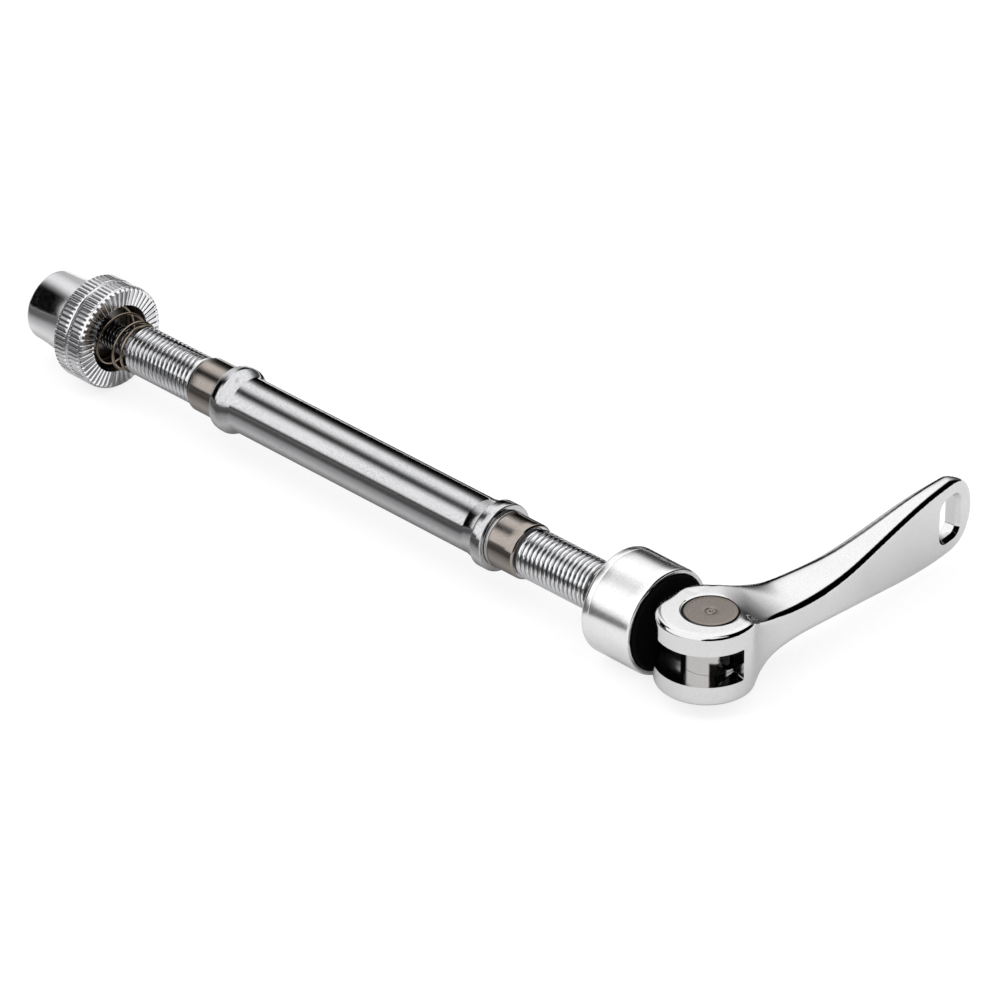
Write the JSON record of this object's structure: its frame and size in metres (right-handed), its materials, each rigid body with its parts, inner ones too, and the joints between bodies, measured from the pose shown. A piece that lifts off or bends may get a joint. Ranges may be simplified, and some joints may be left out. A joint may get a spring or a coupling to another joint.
{
  "type": "quick-release hub axle",
  "caption": "Hollow threaded front hub axle with a quick-release skewer, cam lever, cup and knurled adjusting nut.",
  "frame": {"origin": "middle of the hollow axle, on its axis", "axes": "+X along the axle towards the cam lever, +Z along the lever's cross pin, +Y the way the closed lever points"},
  "size_m": [0.1695, 0.0736, 0.0192],
  "materials": {
    "ground_steel": "turned and ground steel, satin, darker on the seats",
    "rod_steel": "drawn steel rod",
    "pin_steel": "turned steel with machined end faces",
    "lever_chrome": "polished chrome plate on a casting",
    "cup_aluminium": "turned aluminium, fine satin",
    "cushion_plastic": "moulded acetal, matt black",
    "spring_wire": "hard drawn spring wire",
    "nut_chrome": "bright plated, knurled",
    "insert_nylon": "natural nylon"
  },
  "bodies": {
    "axle": {"hollow_axle": "ground_steel"},
    "spring_carriage": {"cam_spring": "spring_wire"},
    "skewer": {"skewer_rod": "rod_steel", "cam_pin": "pin_steel"},
    "lever": {"cam_lever": "lever_chrome"},
    "cushion": {"cup_cushion": "cushion_plastic"},
    "cup": {"cam_cup": "cup_aluminium"},
    "nut_carriage": {"nut_spring": "spring_wire"},
    "nut": {"adjusting_nut": "nut_chrome", "nut_lock_insert": "insert_nylon"}
  },
  "joints": [
    {"name": "skewer_slide", "type": "slide", "parent": "axle", "child": "spring_carriage", "axis": [1, 0, 0], "range_m": [-0.003, 0.003], "stiffness_N_per_m": 200, "deforming": ["cam_spring"]},
    {"name": "skewer_spin", "type": "hinge", "parent": "spring_carriage", "child": "skewer", "pos_m": [0, 0, 0], "axis": [1, 0, 0], "continuous": true},
    {"name": "lever_swing", "type": "hinge", "parent": "skewer", "child": "lever", "pos_m": [0.0812, 0, 0], "axis": [0, 0, -1], "range_deg": [0, 150]},
    {"name": "cup_slide", "type": "slide", "parent": "skewer", "child": "cushion", "axis": [1, 0, 0], "range_m": [-0.003, 0], "stiffness_N_per_m": 200, "springref_m": 0.003},
    {"name": "cup_spin", "type": "hinge", "parent": "cushion", "child": "cup", "pos_m": [0, 0, 0], "axis": [1, 0, 0], "continuous": true},
    {"name": "nut_travel", "type": "slide", "parent": "skewer", "child": "nut_carriage", "axis": [1, 0, 0], "range_m": [-0.0082, 0.0026], "deforming": ["nut_spring"]},
    {"name": "nut_spin", "type": "hinge", "parent": "nut_carriage", "child": "nut", "pos_m": [0, 0, 0], "axis": [1, 0, 0], "range_deg": [-3600, 1080]}
  ],
  "couplings": [
    {"joint": "nut_travel", "follows": "nut_spin", "m_per_rad": 0.00012732}
  ]
}
